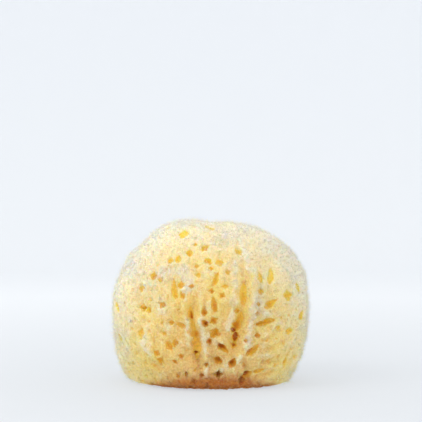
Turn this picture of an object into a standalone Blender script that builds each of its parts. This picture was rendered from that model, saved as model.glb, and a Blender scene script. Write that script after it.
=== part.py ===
"""Natural bath sponge: one domed, lumpy body with canals, cut off flat where it grew on the rock.

Blender 4.5, metres, +Z up. The origin is in the middle of the flat cut, which is the face it rests on.
"""

import math
import random

import bmesh
import bpy
import numpy as np
from mathutils import Matrix, Vector
from mathutils.bvhtree import BVHTree

MM = 0.001

# Driving dimensions of the whole sponge
WIDTH = 125 * MM
DEPTH = 112 * MM
HEIGHT = 102 * MM

# The plain form is a superellipsoid that is widest a little below half its height.
# ROOT_DROP is how far below that its rounding would close if the sponge had not been cut.
WIDEST_AT = 42 * MM
ROOT_DROP = 68 * MM
FULLNESS = 2.2
CUT_EDGE_ROUNDING = 3.0 * MM
MIDDLE_OF_ROUNDING = CUT_EDGE_ROUNDING / 3

# The body's faces: squares along a cube's edge, how near a cutting plane a corner is moved onto it, and how
# near is on the plane
GRID = 15
PLANE_SNAP = 0.5 * MM
ON_PLANE = 0.05 * MM

# Lumps and hollows that make the dome uneven: direction from the middle, angular spread, height
LOBES = (
    ((-0.34, -0.25, 1.00), 0.30, 2.4),
    ((0.05, -0.35, 1.00), 0.17, -1.5),
    ((0.55, -0.30, 0.85), 0.30, -0.6),
    ((0.98, -0.45, 0.25), 0.34, 1.5),
    ((-0.95, -0.40, 0.15), 0.36, 1.2),
    ((-0.62, -0.80, -0.38), 0.30, 1.7),
    ((0.70, -0.75, -0.50), 0.28, 1.4),
    ((0.18, -1.00, 0.30), 0.24, 1.2),
    ((-0.80, 0.70, 0.35), 0.34, 2.2),
    ((0.10, 0.95, 0.55), 0.36, 2.0),
    ((0.75, 0.75, 0.10), 0.26, -2.2),
    ((-0.20, 0.98, -0.15), 0.24, -1.8),
    ((0.60, 0.35, 0.95), 0.26, -1.3),
    ((-0.55, 0.30, 0.95), 0.26, 1.5),
    ((0.95, 0.30, -0.40), 0.28, 1.6),
    ((0.84, -0.12, 0.60), 0.24, 2.4),
    ((0.87, -0.02, 0.50), 0.10, -2.0),
    ((-0.84, -0.02, 0.54), 0.16, 2.8),
    ((0.82, -0.05, -0.58), 0.34, -2.4),
)

# Swells that cross the whole body: direction they run in, waves per unit, phase, height
SWELLS = (
    ((0.80, 0.10, 0.60), 7.0, 0.4, 0.55),
    ((-0.30, 0.90, 0.30), 8.5, 1.9, 0.60),
    ((0.50, -0.50, 0.70), 11.0, 3.1, 0.45),
    ((0.10, 0.60, -0.80), 13.0, 5.0, 0.40),
    ((0.90, 0.40, -0.20), 17.0, 2.2, 0.30),
)

# The growth fans out over the surface from this point, low on the front
GROWTH_ROOT = Vector((0.0, -0.40 * DEPTH, -0.10 * HEIGHT))

# Canals on the front as seen from the front, in mm and degrees: x, z, length, width, tilt
FRONT_CANALS = (
    (-16, 93, 7.5, 5.5, 90),
    (-12, 80, 4.0, 3.5, 0),
    (-2.5, 77, 4.5, 4.0, 0),
    (6, 76, 4.5, 4.0, 90),
    (3, 67, 10.0, 3.8, 80),
    (17, 83, 5.5, 2.4, -75),
    (-34, 69, 4.5, 3.5, 90),
    (-21, 61, 12.0, 3.0, -70),
    (2, 54, 9.5, 3.0, -75),
    (7.5, 60, 4.0, 3.2, 0),
    (-3.5, 48, 7.0, 2.8, 90),
    (-3.5, 41.5, 4.0, 3.4, 90),
    (-11, 48, 7.0, 2.6, -75),
    (2.5, 42.5, 4.5, 3.6, 90),
    (3, 35, 5.5, 4.6, 0),
    (-0.5, 29.5, 3.4, 3.0, 0),
    (19.5, 58, 14.5, 3.8, 85),
    (16.5, 41.5, 13.0, 5.0, 70),
    (14, 30.5, 8.5, 3.6, 80),
    (37, 51, 9.0, 3.2, 32),
    (34, 40.5, 11.0, 3.2, 14),
    (25.5, 24.5, 9.0, 3.4, 38),
    (8.5, 26.5, 8.5, 3.2, -38),
    (3.5, 19.5, 5.0, 3.4, -30),
    (12.5, 17.5, 5.5, 3.4, 60),
    (-8, 22, 11.0, 4.2, 90),
    (5, 11, 4.0, 3.6, 90),
    (22.5, 12, 5.0, 3.0, 30),
    (-30, 18, 5.5, 4.6, -30),
    (-23.5, 27, 6.0, 3.4, -40),
    (-38.5, 48, 6.0, 3.2, -35),
    (-28, 52, 4.0, 3.4, 0),
    (-16.5, 39, 5.5, 3.0, -30),
    (-9, 36, 5.0, 4.2, 0),
    (46.5, 56, 6.0, 5.4, 0),
    (37, 71, 8.0, 3.2, 70),
    (43, 33, 11.0, 2.8, 12),
    (-15, 11, 4.5, 2.6, 90),
)

# The front that those canals cover: how far forward, how far out to each side and how high up
FRONT_FROM = -0.10 * DEPTH
FRONT_REACH = 52 * MM
FRONT_TOP = 0.9 * HEIGHT

# Canals elsewhere are strewn by the same habit: how many to try for, their spacing, sizes in mm and turn
STREWN_TRIES = 900
STREWN_SPACING = 16.5 * MM
STREWN_LENGTH = (5.0, 12.0)
STREWN_WIDTH = (3.0, 5.0)
STREWN_TURN = 0.5
STREWN_LOWEST = 10 * MM

# Canals that the flat cut laid open, in two rings round a whole middle: their number, reaches and size
CUT_FACE_CANALS = 7
CUT_FACE_REACHES = (20 * MM, 27 * MM)
CUT_FACE_CANAL = (6.5 * MM, 4.2 * MM)

# Every canal is cut by a ragged ellipsoid whose middle stands a little above the surface
CANAL_DEPTH_PER_WIDTH = 1.9
CANAL_RISE_PER_DEPTH = 0.08
CANAL_SIDES = 9
CANAL_RINGS = 4
CANAL_RAGGEDNESS = 0.12
SHARP_FROM = math.radians(50)
SLIVER = 0.03 * MM
SEED = 11

SPONGIN = (0.84, 0.66, 0.33)


def clear_scene():
    for obj in list(bpy.data.objects):
        bpy.data.objects.remove(obj)


def collection(name):
    made = bpy.data.collections.new(name)
    bpy.context.scene.collection.children.link(made)
    return made


def spongin_material():
    """Dry bleached sponge fibre: pale straw, fully matt."""
    material = bpy.data.materials.new("spongin")
    material.use_nodes = True
    shader = material.node_tree.nodes["Principled BSDF"]
    shader.inputs["Base Color"].default_value = (*SPONGIN, 1)
    shader.inputs["Roughness"].default_value = 0.95
    shader.inputs["Metallic"].default_value = 0.0
    return material


def unit(vectors):
    return vectors / np.linalg.norm(vectors, axis=-1, keepdims=True)


def unevenness(directions):
    """How far the surface stands out from the plain form along each direction, in metres."""
    height = np.zeros(len(directions))
    for towards, spread, rise in LOBES:
        angle = np.arccos(np.clip(directions @ unit(np.array(towards)), -1, 1))
        height += rise * np.exp(-((angle / spread) ** 2))
    for towards, waves, phase, rise in SWELLS:
        height += rise * np.sin(waves * (directions @ unit(np.array(towards))) + phase)
    return height * MM


def outer_form(directions):
    """Points of the uncut body: a superellipsoid's radius along each direction, plus the unevenness."""
    below = directions[:, 2] < 0
    half_height = np.where(below, ROOT_DROP, HEIGHT - WIDEST_AT)
    shares = (
        np.abs(directions[:, 0]) / (WIDTH / 2),
        np.abs(directions[:, 1]) / (DEPTH / 2),
        np.abs(directions[:, 2]) / half_height,
    )
    radius = sum(share**FULLNESS for share in shares) ** (-1 / FULLNESS)
    points = directions * (radius + unevenness(directions))[:, None]
    return points + (0, 0, WIDEST_AT)


def fitted(points):
    """The points stretched so that what stands above the cut has exactly the driving dimensions."""
    above = points[points[:, 2] > 0]
    low, high = above.min(0), above.max(0)
    middle = (low + high) / 2
    scale = np.array([WIDTH, DEPTH, HEIGHT]) / np.array([high[0] - low[0], high[1] - low[1], high[2]])
    return (points - (middle[0], middle[1], 0)) * scale


def rounded_cut_edge(vert):
    """Draws a vertex near the cut inwards along a quarter circle, so the cut's edge is rounded over."""
    rise = max(CUT_EDGE_ROUNDING - vert.co.z, 0)
    inwards = CUT_EDGE_ROUNDING - math.sqrt(CUT_EDGE_ROUNDING**2 - rise**2)
    shrink = 1 - inwards / vert.co.xy.length
    vert.co.x *= shrink
    vert.co.y *= shrink


def sponge_body():
    """A cube's grid blown up to the outer form, cut flat at the root, with the cut's edge rounded over."""
    bm = bmesh.new()
    bmesh.ops.create_cube(bm, size=2)
    bmesh.ops.subdivide_edges(bm, edges=bm.edges[:], cuts=GRID - 1, use_grid_fill=True)
    grid = np.array([v.co for v in bm.verts])
    evened = np.tan(grid * math.pi / 4)
    for vert, place in zip(bm.verts, fitted(outer_form(unit(evened)))):
        vert.co = place
    for height in (CUT_EDGE_ROUNDING, MIDDLE_OF_ROUNDING, 0):
        for vert in bm.verts:
            if abs(vert.co.z - height) < PLANE_SNAP:
                vert.co.z = height
        everything = bm.verts[:] + bm.edges[:] + bm.faces[:]
        plane = {"plane_co": (0, 0, height), "plane_no": (0, 0, -1), "clear_outer": height == 0}
        bmesh.ops.bisect_plane(bm, geom=everything, dist=ON_PLANE, **plane)
    for vert in bm.verts:
        rounded_cut_edge(vert)
    bmesh.ops.edgeloop_fill(bm, edges=[edge for edge in bm.edges if edge.is_boundary])
    bmesh.ops.recalc_face_normals(bm, faces=bm.faces[:])
    mesh = bpy.data.meshes.new("sponge")
    bm.to_mesh(mesh)
    bm.free()
    return mesh


def along_growth(place, normal, turn=0.0):
    """The direction in which the growth fans out at a place on the surface, turned about the normal."""
    away = place - GROWTH_ROOT
    tangent = (away - away.dot(normal) * normal).normalized()
    return Matrix.Rotation(turn, 3, normal) @ tangent


def tilted(normal, degrees):
    """A direction drawn at this tilt in the front view, laid onto the surface."""
    drawn = Vector((math.cos(math.radians(degrees)), 0, math.sin(math.radians(degrees))))
    return (drawn - drawn.dot(normal) * normal).normalized()


def canal_cutter(place, normal, along, length, width, chance):
    """A ragged ellipsoid sunk into the surface: long along the growth, narrow across, and deep."""
    depth = CANAL_DEPTH_PER_WIDTH * width
    across = normal.cross(along).normalized()
    axes = Matrix((along, across, normal)).transposed()
    bm = bmesh.new()
    bmesh.ops.create_uvsphere(bm, u_segments=CANAL_SIDES, v_segments=CANAL_RINGS, radius=1)
    for vert in bm.verts:
        ragged = 1 + CANAL_RAGGEDNESS * chance.uniform(-1, 1)
        sized = Vector((vert.co.x * length / 2, vert.co.y * width / 2, vert.co.z * depth))
        vert.co = axes @ (sized * ragged) + place + normal * (CANAL_RISE_PER_DEPTH * depth)
    mesh = bpy.data.meshes.new("canal_cutter")
    bm.to_mesh(mesh)
    bm.free()
    return mesh


def front_canals(tree, chance):
    """Cutters for the canals that the front shows, each shot onto the surface from the front."""
    for x, z, length, width, tilt in FRONT_CANALS:
        start = Vector((x * MM, -DEPTH, z * MM))
        place, normal, _, _ = tree.ray_cast(start, Vector((0, 1, 0)))
        yield place, canal_cutter(place, normal, tilted(normal, tilt), length * MM, width * MM, chance)


def strewn_canals(tree, taken, chance):
    """Cutters for the sides, back and crown, at random places that keep clear of each other and of the front."""
    draw = np.random.default_rng(SEED)
    directions = unit(draw.normal(size=(STREWN_TRIES, 3)))
    turns = draw.uniform(-STREWN_TURN, STREWN_TURN, STREWN_TRIES)
    lengths = draw.uniform(*STREWN_LENGTH, STREWN_TRIES)
    widths = draw.uniform(*STREWN_WIDTH, STREWN_TRIES)
    middle = Vector((0, 0, WIDEST_AT))
    for direction, turn, length, width in zip(directions, turns, lengths, widths):
        place, normal, _, _ = tree.ray_cast(middle, Vector(direction))
        near = any((place - other).length < STREWN_SPACING for other in taken)
        on_front = place.y < FRONT_FROM and abs(place.x) < FRONT_REACH and place.z < FRONT_TOP
        if near or on_front or place.z < STREWN_LOWEST:
            continue
        taken.append(place)
        along = along_growth(place, normal, turn)
        yield canal_cutter(place, normal, along, length * MM, width * MM, chance)


def cut_face_canals(chance):
    """Cutters for the canals in the flat cut, each drawn out away from its middle."""
    down = Vector((0, 0, -1))
    for step in range(CUT_FACE_CANALS):
        angle = math.tau * step / CUT_FACE_CANALS
        outwards = Vector((math.cos(angle), math.sin(angle), 0))
        place = outwards * CUT_FACE_REACHES[step % len(CUT_FACE_REACHES)]
        yield canal_cutter(place, down, outwards, *CUT_FACE_CANAL, chance)


def main():
    clear_scene()
    shown = collection("sea_sponge")
    hidden = collection("canal_cutters")
    hidden.hide_render = True

    chance = random.Random(SEED)
    sponge = bpy.data.objects.new("sponge", sponge_body())
    sponge.data.materials.append(spongin_material())
    shown.objects.link(sponge)

    bm = bmesh.new()
    bm.from_mesh(sponge.data)
    tree = BVHTree.FromBMesh(bm)
    bm.free()

    front = list(front_canals(tree, chance))
    taken = [place for place, _ in front]
    meshes = [mesh for _, mesh in front]
    meshes += strewn_canals(tree, taken, chance)
    meshes += cut_face_canals(chance)
    for mesh in meshes:
        cutter = bpy.data.objects.new("canal_cutter", mesh)
        cutter.hide_render = True
        cutter.display_type = "WIRE"
        hidden.objects.link(cutter)

    canals = sponge.modifiers.new("canals", "BOOLEAN")
    canals.operation = "DIFFERENCE"
    canals.operand_type = "COLLECTION"
    canals.collection = hidden
    weld = sponge.modifiers.new("sliver_edges", "WELD")
    weld.merge_threshold = SLIVER
    triangles = sponge.modifiers.new("even_triangles", "TRIANGULATE")
    triangles.ngon_method = "BEAUTY"
    sponge.data.shade_smooth()
    sponge.data.set_sharp_from_angle(angle=SHARP_FROM)


main()
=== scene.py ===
"""Looks of a natural bath sponge: its skin with canals, furrows and pores, and the tufts of fibre on it.

Metres, +Z up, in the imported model's frame. -Y faces the camera, and the sponge rests on z = 0.
"""

import itertools
import math

import bpy
import numpy as np
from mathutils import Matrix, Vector


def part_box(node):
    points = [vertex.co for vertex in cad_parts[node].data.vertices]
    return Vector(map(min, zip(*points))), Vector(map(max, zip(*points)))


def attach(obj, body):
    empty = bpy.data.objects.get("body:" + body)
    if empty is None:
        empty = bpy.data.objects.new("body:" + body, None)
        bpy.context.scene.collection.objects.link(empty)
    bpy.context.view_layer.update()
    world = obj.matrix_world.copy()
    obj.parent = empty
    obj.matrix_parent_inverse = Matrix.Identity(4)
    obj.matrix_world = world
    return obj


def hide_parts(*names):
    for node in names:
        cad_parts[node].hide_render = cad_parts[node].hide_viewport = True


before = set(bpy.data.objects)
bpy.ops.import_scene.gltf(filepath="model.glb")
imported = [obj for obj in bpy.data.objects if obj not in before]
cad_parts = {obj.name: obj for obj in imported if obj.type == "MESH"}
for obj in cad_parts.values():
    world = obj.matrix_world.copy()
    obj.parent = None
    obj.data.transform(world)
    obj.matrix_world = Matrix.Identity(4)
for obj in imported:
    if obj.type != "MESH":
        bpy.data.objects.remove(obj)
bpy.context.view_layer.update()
MM = 0.001

# The body. A bath sponge is one springy mass of horny fibre, grown as a dome out of a single root.
# It was cut off flat where it sat on the rock, then washed, bleached and dried. The skin is a cube's
# grid of squares blown up to the same uneven dome as the solid's, a little inside it. Its directions are
# moved by FRONT_PULL towards the viewer, which makes the squares finer there.
BODY_LOW, BODY_HIGH = (np.array(corner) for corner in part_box("sponge"))
WIDTH, DEPTH, HEIGHT = BODY_HIGH - BODY_LOW
SKIN_SQUARES = 128
SKIN_INSET = 0.6 * MM
FRONT_PULL = 0.28
WIDEST_AT = 0.42 * HEIGHT
ROOT_DROP = 0.68 * HEIGHT
FULLNESS = 2.2
CUT_CRISPNESS = 32
CUBE_SIDES, WELD_STEPS, MAP_MARGIN = 6, 1e6, 0.01

# Lumps and hollows that make the dome uneven: direction from the middle, angular spread, height in mm
LOBES = (
    ((-0.34, -0.25, 1.00), 0.30, 2.4),
    ((0.05, -0.35, 1.00), 0.17, -1.5),
    ((0.55, -0.30, 0.85), 0.30, -0.6),
    ((0.98, -0.45, 0.25), 0.34, 1.5),
    ((-0.95, -0.40, 0.15), 0.36, 1.2),
    ((-0.62, -0.80, -0.38), 0.30, 1.7),
    ((0.70, -0.75, -0.50), 0.28, 1.4),
    ((0.18, -1.00, 0.30), 0.24, 1.2),
    ((-0.80, 0.70, 0.35), 0.34, 2.2),
    ((0.10, 0.95, 0.55), 0.36, 2.0),
    ((0.75, 0.75, 0.10), 0.26, -2.2),
    ((-0.20, 0.98, -0.15), 0.24, -1.8),
    ((0.60, 0.35, 0.95), 0.26, -1.3),
    ((-0.55, 0.30, 0.95), 0.26, 1.5),
    ((0.95, 0.30, -0.40), 0.28, 1.6),
    ((0.84, -0.12, 0.60), 0.24, 2.4),
    ((0.87, -0.02, 0.50), 0.10, -2.0),
    ((-0.84, -0.02, 0.54), 0.16, 2.8),
    ((0.82, -0.05, -0.58), 0.34, -2.4),
)

# Swells that cross the whole body: direction they run in, waves per unit, phase, height in mm
SWELLS = (
    ((0.80, 0.10, 0.60), 7.0, 0.4, 0.55),
    ((-0.30, 0.90, 0.30), 8.5, 1.9, 0.60),
    ((0.50, -0.50, 0.70), 11.0, 3.1, 0.45),
    ((0.10, 0.60, -0.80), 13.0, 5.0, 0.40),
    ((0.90, 0.40, -0.20), 17.0, 2.2, 0.30),
)


def unit(vectors):
    """The vectors at length 1: each over the root of its summed squares."""
    return vectors / np.linalg.norm(vectors, axis=-1, keepdims=True)


def ease(values, start, end):
    """0 before start and 1 after end, with the smooth step 3x^2 - 2x^3 between them."""
    share = np.clip((values - start) / (end - start), 0, 1)
    return share * share * (3 - 2 * share)


def blown_up_cube(squares):
    """Directions over a sphere, welded, the squares between them and each square's place on the map.
    A side of the cube has an even grid of angles a and b, whose direction is (tan a, tan b, 1)."""
    angles = np.tan(np.linspace(-1, 1, squares + 1) * math.pi / 4)
    first, second = np.meshgrid(angles, angles, indexing="ij")
    sides = np.empty((CUBE_SIDES, squares + 1, squares + 1, 3))
    for number in range(CUBE_SIDES):
        axis, sign = number // 2, 1 - 2 * (number % 2)
        sides[number, ..., axis] = sign
        sides[number, ..., (axis + 1) % 3] = first if sign > 0 else second
        sides[number, ..., (axis + 2) % 3] = second if sign > 0 else first
    spread = unit(sides).reshape(-1, 3)
    rounded = np.round(spread * WELD_STEPS)
    _, kept, welded = np.unique(rounded, axis=0, return_index=True, return_inverse=True)
    grid = welded.reshape(CUBE_SIDES, squares + 1, squares + 1)
    cell = np.stack((grid[:, :-1, :-1], grid[:, 1:, :-1], grid[:, 1:, 1:], grid[:, :-1, 1:]), axis=-1)
    return spread[kept], cell.reshape(-1, 4), map_places(squares)


def map_places(squares):
    """Corners of every square on a map that holds the cube's sides in two rows of three, each in a margin."""
    step = np.linspace(MAP_MARGIN, 1 - MAP_MARGIN, squares + 1)
    first, second = np.meshgrid(step, step, indexing="ij")
    number = np.arange(CUBE_SIDES)[:, None, None]
    place = np.stack(((number % 3 + first) / 3, (number // 3 + second) / 2), axis=-1)
    cell = np.stack((place[:, :-1, :-1], place[:, 1:, :-1], place[:, 1:, 1:], place[:, :-1, 1:]), axis=3)
    return cell.reshape(-1, 4, 2)


def unevenness(directions):
    """How far the dome stands out from its plain form: a bell of the angle to each lobe, and sine swells."""
    height = np.zeros(len(directions))
    for towards, spread, rise in LOBES:
        angle = np.arccos(np.clip(directions @ unit(np.array(towards)), -1, 1))
        height += rise * np.exp(-((angle / spread) ** 2))
    for towards, waves, phase, rise in SWELLS:
        height += rise * np.sin(waves * (directions @ unit(np.array(towards))) + phase)
    return height * MM


def outer_form(directions):
    """Points of the dome. The radius is a superellipsoid's, the -1/n power of the summed n-th powers of the
    direction's shares, plus the unevenness. It gives way to the cut plane by the same sum of a high power."""
    below = directions[:, 2] < 0
    halves = np.stack(
        (
            np.full(len(directions), WIDTH / 2),
            np.full(len(directions), DEPTH / 2),
            np.where(below, ROOT_DROP, HEIGHT - WIDEST_AT),
        ),
        axis=-1,
    )
    radius = ((np.abs(directions) / halves) ** FULLNESS).sum(-1) ** (-1 / FULLNESS)
    radius += unevenness(directions)
    plane_share = np.where(below, radius * -directions[:, 2] / WIDEST_AT, 0)
    radius /= (1 + plane_share**CUT_CRISPNESS) ** (1 / CUT_CRISPNESS)
    return directions * radius[:, None] + (0, 0, WIDEST_AT)


def fitted(points):
    """The points moved and stretched to fill the solid's box, less the inset at the sides and the crown."""
    low, high = points.min(0), points.max(0)
    inset = np.array((SKIN_INSET, SKIN_INSET, 0))
    new_low, new_high = BODY_LOW + inset, BODY_HIGH - inset - (0, 0, SKIN_INSET)
    return new_low + (points - low) * (new_high - new_low) / (high - low)


def facing_of(points, cells):
    """Each point's outward direction: the cross products of the diagonals of the squares round it, summed."""
    crossed = np.cross(points[cells[:, 2]] - points[cells[:, 0]], points[cells[:, 3]] - points[cells[:, 1]])
    total = np.zeros_like(points)
    for corner in cells.T:
        for axis in range(3):
            total[:, axis] += np.bincount(corner, crossed[:, axis], len(points))
    return unit(total)


directions, squares, square_map = blown_up_cube(SKIN_SQUARES)
directions = unit(directions - (0, FRONT_PULL, 0))
dome = fitted(outer_form(directions))
dome_facing = facing_of(dome, squares)

# The canals. Water ran through them in life. They open as slots and round holes with soft lips, and
# fan out over the front from low down. Each gathers the skin round it, so that its wall has enough squares.
GROWTH_ROOT = np.array((0.0, -0.40 * DEPTH, -0.10 * HEIGHT))
SEED = 11

# Canals of the front, in mm and degrees: x, z, length, width, the way that the canal runs from
# its deep end, and its depth
FRONT_CANALS = (
    (-17, 93.6, 8.0, 6.0, 90, 2.2),
    (-13.3, 82.1, 5.2, 4.2, 90, 2.4),
    (-19.7, 78.6, 6.0, 3.0, 90, 2.0),
    (-25, 77.4, 4.8, 3.4, 90, 2.4),
    (-3.3, 85.1, 6.2, 3.6, 40, 2.8),
    (-9.2, 86.6, 3.2, 2.6, 10, 2.0),
    (-2.8, 77.3, 5.7, 3.6, 125, 2.7),
    (-0.4, 72.9, 3.2, 3.0, 90, 2.5),
    (-9, 74.6, 3.2, 2.4, 90, 1.6),
    (4.7, 76.6, 5.5, 4.4, 100, 2.4),
    (15.7, 82.6, 6.5, 2.6, 108, 2.8),
    (-7.6, 69.1, 4.0, 2.6, 90, 1.6),
    (9.6, 70.6, 3.6, 3.2, 90, 1.5),
    (2.1, 66.8, 9.0, 3.0, 70, 2.6),
    (-0.4, 60.1, 3.3, 3.0, 90, 3.0),
    (8.2, 62.6, 3.6, 3.2, 90, 1.6),
    (6.8, 57.4, 3.6, 3.2, 60, 3.0),
    (-11.4, 62.3, 3.2, 3.0, 90, 2.2),
    (-18.1, 63.1, 4.8, 3.4, 90, 2.4),
    (-22.2, 61, 12.5, 2.8, 102, 2.6),
    (-17.4, 57.2, 5.5, 2.4, 118, 2.3),
    (1.6, 52.6, 9.8, 2.8, 102, 3.2),
    (-4.2, 47.7, 6.0, 2.4, 90, 3.5),
    (-4.3, 41, 5.0, 3.2, 125, 4.0),
    (0.7, 42.6, 5.0, 4.2, 120, 3.1),
    (1.6, 35, 6.6, 5.0, 150, 3.1),
    (-1.4, 30, 4.4, 3.4, 90, 3.6),
    (-12.3, 46, 8.8, 2.6, 95, 3.9),
    (-11, 39.5, 8.0, 2.8, 100, 1.4),
    (-10.3, 34.5, 6.0, 4.2, 100, 3.2),
    (-9, 24.6, 17.0, 4.6, 272, 2.1),
    (-9.1, 23.2, 3.4, 3.0, 90, 5.8),
    (-2.8, 15.8, 2.6, 2.4, 90, 5.0),
    (-6.7, 29, 2.8, 1.8, 90, 1.6),
    (19.3, 58.5, 14.5, 4.0, 85, 2.6),
    (14.8, 48.4, 3.2, 3.0, 90, 2.8),
    (16, 41.3, 12.8, 4.8, 66, 3.5),
    (13.2, 36.9, 4.2, 3.4, 60, 5.6),
    (13.6, 30.6, 8.6, 3.8, 256, 5.0),
    (12.9, 27.4, 4.6, 3.2, 76, 4.2),
    (6.9, 25.5, 8.5, 3.2, -45, 4.3),
    (3.2, 18.4, 6.2, 3.6, 145, 3.8),
    (12.2, 17.2, 6.8, 3.2, 65, 4.1),
    (4.4, 10.4, 4.4, 4.2, 90, 6.8),
    (-5.3, 9.5, 2.6, 2.4, 90, 3.4),
    (-34.8, 68.6, 5.2, 3.8, 90, 3.6),
    (-30.7, 66.2, 3.8, 2.4, 100, 1.9),
    (-42.4, 60.6, 4.4, 3.8, 90, 1.8),
    (-29.4, 51.1, 4.2, 3.4, 150, 3.1),
    (-41.5, 49, 4.2, 3.6, 90, 3.6),
    (-38.2, 48.3, 3.8, 2.8, 130, 2.8),
    (-24, 41, 3.4, 3.0, 90, 1.9),
    (-18.8, 39.3, 7.0, 2.6, 160, 2.0),
    (-42.8, 34, 6.4, 5.4, 90, 2.3),
    (-21.2, 29.4, 5.4, 3.0, 90, 2.4),
    (-25.1, 27.4, 6.5, 3.4, 130, 2.4),
    (-32.9, 22.5, 4.2, 3.2, 150, 2.3),
    (-30.4, 17.6, 5.2, 4.4, 60, 3.0),
    (-18.3, 21.4, 2.8, 2.6, 90, 2.6),
    (-22.4, 17.8, 3.4, 2.2, 140, 2.6),
    (-20, 8.5, 2.6, 2.2, 140, 3.2),
    (-15.4, 10.4, 3.6, 1.8, 95, 4.4),
    (35.7, 68.6, 11.5, 3.8, 68, 1.6),
    (29.2, 67.6, 8.0, 3.2, 90, 1.7),
    (53.2, 60.8, 8.0, 4.6, 90, 2.4),
    (29.2, 59, 3.9, 3.6, 80, 1.9),
    (46.6, 56.8, 6.6, 6.0, 90, 2.7),
    (35.9, 51.3, 9.8, 3.2, 27, 2.8),
    (27.3, 51.8, 3.2, 3.2, 90, 1.7),
    (26.8, 46.3, 2.8, 2.6, 90, 2.6),
    (33, 40.6, 12.4, 3.2, 14, 3.6),
    (48, 34, 7.0, 3.2, 5, 3.2),
    (40, 36.4, 4.4, 2.4, -20, 1.6),
    (27.3, 33.2, 3.2, 2.6, 90, 3.4),
    (20.3, 30.4, 2.8, 2.4, 90, 1.9),
    (24.6, 24.4, 9.2, 3.2, 38, 3.7),
    (45.2, 16, 7.0, 3.2, 75, 3.4),
    (19.3, 15.1, 3.8, 2.6, 90, 0.8),
    (21.3, 8.9, 6.2, 3.4, 30, 5.4),
    (28.7, 11.5, 7.5, 2.4, 15, 2.3),
    (18.2, 6.1, 5.5, 3.4, 90, 4.8),
)

# Elsewhere: how many canals to try for, their spacing, sizes in mm, turn, and the front that they leave free
STREWN_TRIES = 900
STREWN_SPACING = 16.5 * MM
STREWN_LENGTH = (5.0, 12.0)
STREWN_WIDTH = (3.0, 5.0)
STREWN_TURN = 0.5
STREWN_LOWEST = 10 * MM
FRONT_FROM, FRONT_REACH, FRONT_TOP = -0.10 * DEPTH, 52 * MM, 0.9 * HEIGHT

# Canals that the flat cut laid open, and the small pores between all of these, narrower far from the root
CUT_FACE_CANALS = 7
CUT_FACE_REACHES = (20 * MM, 27 * MM)
CUT_FACE_CANAL = (6.5 * MM, 4.2 * MM)
PORE_TRIES = 5000
PORE_CLEARANCE = 2.4 * MM
PORE_WIDTH = (1.2, 2.6)
PORE_STRETCH = (1.0, 2.4)
FAR_FROM, FAR_TO, FAR_PORES_NARROWER = 50 * MM, 95 * MM, 0.5

# Shape of a canal: its depth by its width where no row gives one, how far it narrows to its ends, how much
# wider it is at its deep end and all along, and how short its line may be by its width. Its edge is uneven on
# two scales (size, height and seed of each), in full from RAGGED_WIDTH up. The skin within WALL_FROM of the
# edge is drawn together to make the wall, in narrow canals less, and past SKIN_STILL nothing moves.
CANAL_DEPTH_PER_WIDTH, PORE_DEPTH_PER_WIDTH = 1.1, 0.65
NARROWING, ROOT_END_WIDER, OPENED_UP = 0.80, 0.36, 0.30 * MM
SHORTEST_LINE = 0.1
RAGGED_EDGE = ((3.3 * MM, 0.60 * MM, 21), (1.4 * MM, 0.42 * MM, 22))
RAGGED_WIDTH = 1.9 * MM
WALL_FROM, WALL_TO, SKIN_STILL = 0.62 * MM, 0.20 * MM, 2.4 * MM
WALL_MOST_FROM, WALL_MOST_TO = 0.6, 0.25
LIP_REACH, LIP_DROP, LIP_WIDTH = 2.1 * MM, 0.6 * MM, 4 * MM
FLOOR_BOWL = 0.45
FLOOR_MIDDLE, FLOOR_SLOPE, FLOOR_ENDS = 0.85, 0.25, 0.2
SEARCH_MARGIN, NEVER_ZERO = 1 * MM, 1e-9

# Large primes that stir a cell's indices and seed into a number of 32 bits, and the shifts between them
CELL_PRIMES, SEED_PRIME = (73856093, 19349663, 83492791), 2654435761
STIRRINGS, LAST_SHIFT = ((15, 2246822519), (13, 3266489917)), 16
ALL_BITS = 0xFFFFFFFF


def lattice(cells, seed):
    """A fixed number from 0 to 1 for each whole-numbered cell: its indices times large primes, stirred by
    shifts, exclusive ors and further primes."""
    stirred = np.bitwise_xor.reduce(cells.astype(np.uint64) * np.array(CELL_PRIMES, np.uint64), axis=-1)
    stirred = stirred + np.uint64(seed * SEED_PRIME)
    for shift, prime in STIRRINGS:
        stirred = (stirred ^ (stirred >> np.uint64(shift))) * np.uint64(prime) & np.uint64(ALL_BITS)
    return (stirred ^ (stirred >> np.uint64(LAST_SHIFT))).astype(float) / ALL_BITS


def mottle(places, seed):
    """Value noise from -1 to 1: the lattice numbers at a cell's eight corners, blended by a smooth step."""
    low = np.floor(places).astype(np.int64)
    part = ease(places - low, 0, 1)
    total = np.zeros(len(places))
    for corner in itertools.product((0, 1), repeat=3):
        weight = np.where(corner, part, 1 - part).prod(-1)
        total += weight * lattice(low + corner, seed)
    return 2 * total - 1


def along_growth(places, facing, turn):
    """Tangents that point away from the growth root, turned about the facing direction."""
    away = places - GROWTH_ROOT
    along = unit(away - (away * facing).sum(-1, keepdims=True) * facing)
    return along * np.cos(turn) + np.cross(facing, along) * np.sin(turn)


def front_canals(rows):
    """Canals of the front: each at the front skin point nearest to its row's x and z, at the row's tilt."""
    front = np.flatnonzero((dome_facing[:, 1] < 0) & (dome[:, 1] < 0))
    for x, z, length, width, tilt, depth in rows:
        aside = np.hypot(dome[front, 0] - x * MM, dome[front, 2] - z * MM)
        spot = front[aside.argmin()]
        facing = dome_facing[spot]
        drawn = np.array((math.cos(math.radians(tilt)), 0, math.sin(math.radians(tilt))))
        along = unit(drawn - (drawn @ facing) * facing)
        yield dome[spot], facing, along, length * MM, width * MM, depth * MM


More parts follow.
